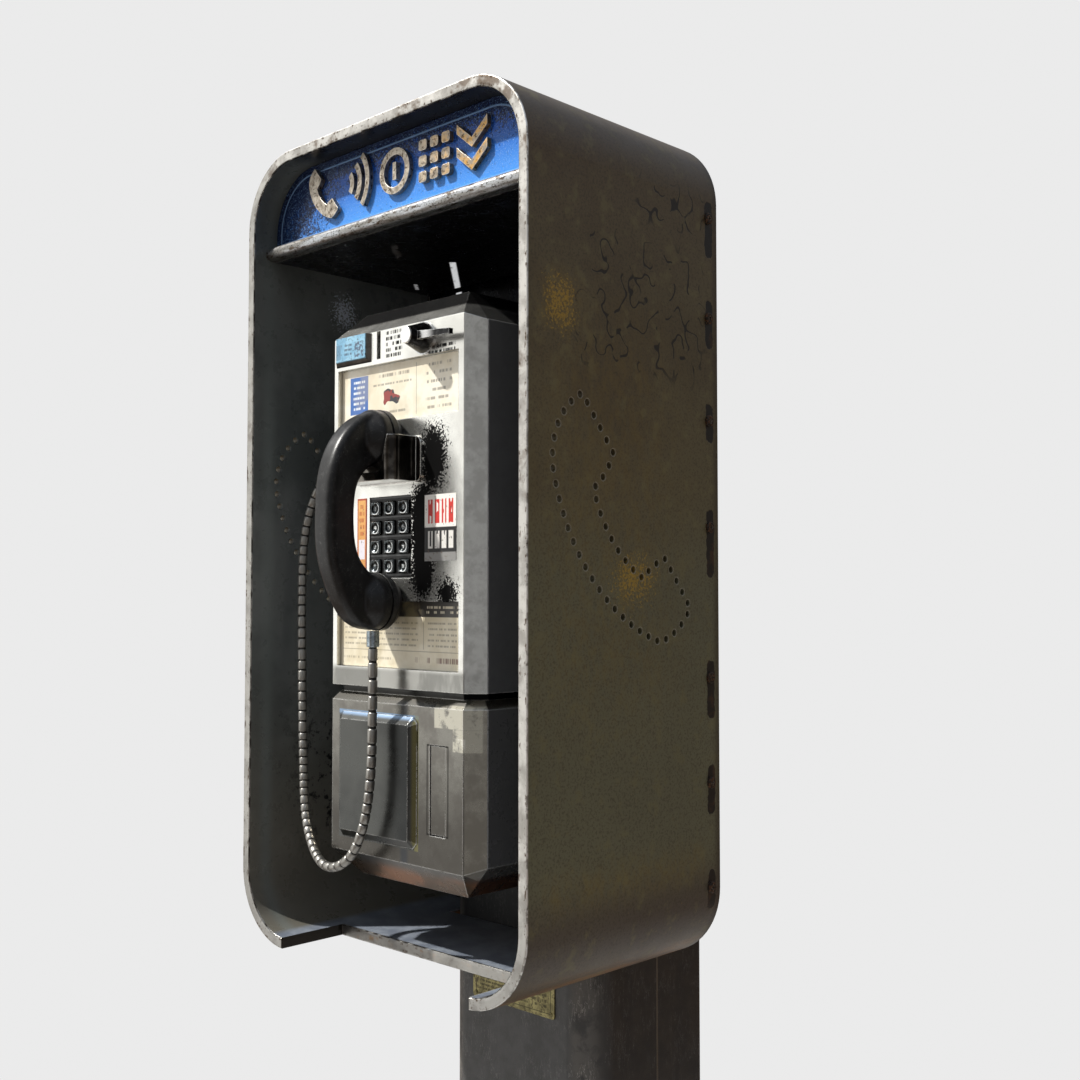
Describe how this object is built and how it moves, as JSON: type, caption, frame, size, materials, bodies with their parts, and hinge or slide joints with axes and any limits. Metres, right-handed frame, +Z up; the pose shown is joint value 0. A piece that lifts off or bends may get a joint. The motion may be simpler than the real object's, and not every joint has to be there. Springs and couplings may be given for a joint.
{
  "type": "payphone",
  "caption": "Coin telephone with handset, keypad, card windows and vault, in a round-cornered hooded enclosure on a square post with a base plate.",
  "frame": {"origin": "centre of the base plate's underside, on the ground, under the post's centre", "axes": "+Z up, +X to the right as the caller faces the phone, -Y towards the caller"},
  "size_m": [0.417, 0.4921, 1.54],
  "materials": {
    "post_paint": "charcoal powder coat, scuffed corner",
    "brass": "dull lacquered brass plate",
    "zinc_steel": "zinc plated, satin",
    "fasteners": "rust-darkened steel",
    "shell_metal": "bronze-brown enamel, worn bright along the rim, rust runs below the screws",
    "dark_panel": "dark blue-grey gloss enamel",
    "worn_alloy": "worn polished alloy trim",
    "sign_blue": "translucent blue sign face",
    "sign_bronze": "worn bronzed relief",
    "lamp_glass": "fluorescent tube",
    "white_plastic": "moulded lamp fittings",
    "phone_steel": "polished and brushed steel with dirt and overspray",
    "card": "cream printed card under clear film",
    "label_print": "printed vinyl",
    "black_plastic": "black moulding",
    "chrome": "chromed zinc",
    "keypad_black": "black with worn chrome edges",
    "circuit_green": "solder-masked board",
    "dark_chrome": "dark chromed casting",
    "handset_black": "semi-gloss black moulding, scuffed",
    "blued_steel": "blue-grey steel sleeve",
    "armour_steel": "interlocked steel armour",
    "key_chrome": "chromed keys"
  },
  "bodies": {
    "cabinet": {"back_panel": "dark_panel", "base_plate": "post_paint", "circuit_board": "circuit_green", "coin_box": "zinc_steel", "coin_chute": "zinc_steel", "coin_guide": "black_plastic", "coin_release_bezel": "chrome", "coin_return_cup": "black_plastic", "cord": "armour_steel", "cord_gland": "blued_steel", "cradle": "dark_chrome", "enclosure_shell": "shell_metal", "hook_switch": "black_plastic", "keypad_bezel": "keypad_black", "keypad_board": "circuit_green", "label_block": "phone_steel", "labels": "label_print", "lamp_gear": "white_plastic", "lamp_tube": "lamp_glass", "lower_card": "card", "lower_housing": "phone_steel", "mounting_bolts": "zinc_steel", "panel_screws": "fasteners", "phone_backplate": "zinc_steel", "post_brackets": "zinc_steel", "post_front_channel": "post_paint", "post_rear_cover": "post_paint", "post_top_cap": "post_paint", "rating_plate": "brass", "release_spring": "zinc_steel", "sign_panel": "sign_blue", "sign_symbols": "sign_bronze", "sign_tray": "dark_panel", "sign_trim": "worn_alloy", "upper_card": "card", "upper_housing": "phone_steel"},
    "handset": {"handset_body": "handset_black", "ear_cap": "handset_black", "mouth_cap": "handset_black", "receiver_capsule": "zinc_steel", "transmitter_capsule": "zinc_steel", "strain_relief": "blued_steel"},
    "hook_lever": {"hook_lever": "chrome"},
    "coin_release_lever": {"coin_release_lever": "chrome"},
    "coin_return_flap": {"coin_return_flap": "phone_steel"},
    "vault_door": {"vault_door": "phone_steel"},
    "housing_lock": {"housing_lock": "chrome"},
    "vault_lock": {"vault_lock": "chrome"},
    "key_1": {"key_1": "key_chrome"},
    "key_2": {"key_2": "key_chrome"},
    "key_3": {"key_3": "key_chrome"},
    "key_4": {"key_4": "key_chrome"},
    "key_5": {"key_5": "key_chrome"},
    "key_6": {"key_6": "key_chrome"},
    "key_7": {"key_7": "key_chrome"},
    "key_8": {"key_8": "key_chrome"},
    "key_9": {"key_9": "key_chrome"},
    "key_star": {"key_star": "key_chrome"},
    "key_0": {"key_0": "key_chrome"},
    "key_hash": {"key_hash": "key_chrome"}
  },
  "joints": [
    {"name": "handset_lift", "type": "slide", "parent": "cabinet", "child": "handset", "axis": [0, 0, 1], "range_m": [0, 0.06]},
    {"name": "hook_lever_rise", "type": "hinge", "parent": "cabinet", "child": "hook_lever", "pos_m": [-0.008, -0.2385, 1.205], "axis": [-1, 0, 0], "range_deg": [0, 10]},
    {"name": "coin_release_turn", "type": "hinge", "parent": "cabinet", "child": "coin_release_lever", "pos_m": [0.041, -0.2512, 1.328], "axis": [0, 1, 0], "range_deg": [0, 30], "stiffness_Nm_per_rad": 0.15, "springref_deg": -34.38},
    {"name": "coin_return_push", "type": "hinge", "parent": "cabinet", "child": "coin_return_flap", "pos_m": [0.0615, -0.2439, 0.951], "axis": [1, 0, 0], "range_deg": [0, 35], "stiffness_Nm_per_rad": 0.02, "springref_deg": -17.19},
    {"name": "vault_door_draw", "type": "slide", "parent": "cabinet", "child": "vault_door", "axis": [0, -1, 0], "range_m": [0, 0.006]},
    {"name": "housing_lock_turn", "type": "hinge", "parent": "cabinet", "child": "housing_lock", "pos_m": [0.1114, -0.1615, 1.18], "axis": [1, 0, 0], "range_deg": [0, 90]},
    {"name": "vault_lock_turn", "type": "hinge", "parent": "cabinet", "child": "vault_lock", "pos_m": [0.1114, -0.1615, 0.91], "axis": [1, 0, 0], "range_deg": [0, 90]},
    {"name": "key_1_press", "type": "slide", "parent": "cabinet", "child": "key_1", "axis": [0, 1, 0], "range_m": [0, 0.002], "stiffness_N_per_m": 800},
    {"name": "key_2_press", "type": "slide", "parent": "cabinet", "child": "key_2", "axis": [0, 1, 0], "range_m": [0, 0.002], "stiffness_N_per_m": 800},
    {"name": "key_3_press", "type": "slide", "parent": "cabinet", "child": "key_3", "axis": [0, 1, 0], "range_m": [0, 0.002], "stiffness_N_per_m": 800},
    {"name": "key_4_press", "type": "slide", "parent": "cabinet", "child": "key_4", "axis": [0, 1, 0], "range_m": [0, 0.002], "stiffness_N_per_m": 800},
    {"name": "key_5_press", "type": "slide", "parent": "cabinet", "child": "key_5", "axis": [0, 1, 0], "range_m": [0, 0.002], "stiffness_N_per_m": 800},
    {"name": "key_6_press", "type": "slide", "parent": "cabinet", "child": "key_6", "axis": [0, 1, 0], "range_m": [0, 0.002], "stiffness_N_per_m": 800},
    {"name": "key_7_press", "type": "slide", "parent": "cabinet", "child": "key_7", "axis": [0, 1, 0], "range_m": [0, 0.002], "stiffness_N_per_m": 800},
    {"name": "key_8_press", "type": "slide", "parent": "cabinet", "child": "key_8", "axis": [0, 1, 0], "range_m": [0, 0.002], "stiffness_N_per_m": 800},
    {"name": "key_9_press", "type": "slide", "parent": "cabinet", "child": "key_9", "axis": [0, 1, 0], "range_m": [0, 0.002], "stiffness_N_per_m": 800},
    {"name": "key_star_press", "type": "slide", "parent": "cabinet", "child": "key_star", "axis": [0, 1, 0], "range_m": [0, 0.002], "stiffness_N_per_m": 800},
    {"name": "key_0_press", "type": "slide", "parent": "cabinet", "child": "key_0", "axis": [0, 1, 0], "range_m": [0, 0.002], "stiffness_N_per_m": 800},
    {"name": "key_hash_press", "type": "slide", "parent": "cabinet", "child": "key_hash", "axis": [0, 1, 0], "range_m": [0, 0.002], "stiffness_N_per_m": 800}
  ],
  "couplings": [
    {"joint": "hook_lever_rise", "follows": "handset_lift", "rad_per_m": 2.9}
  ]
}
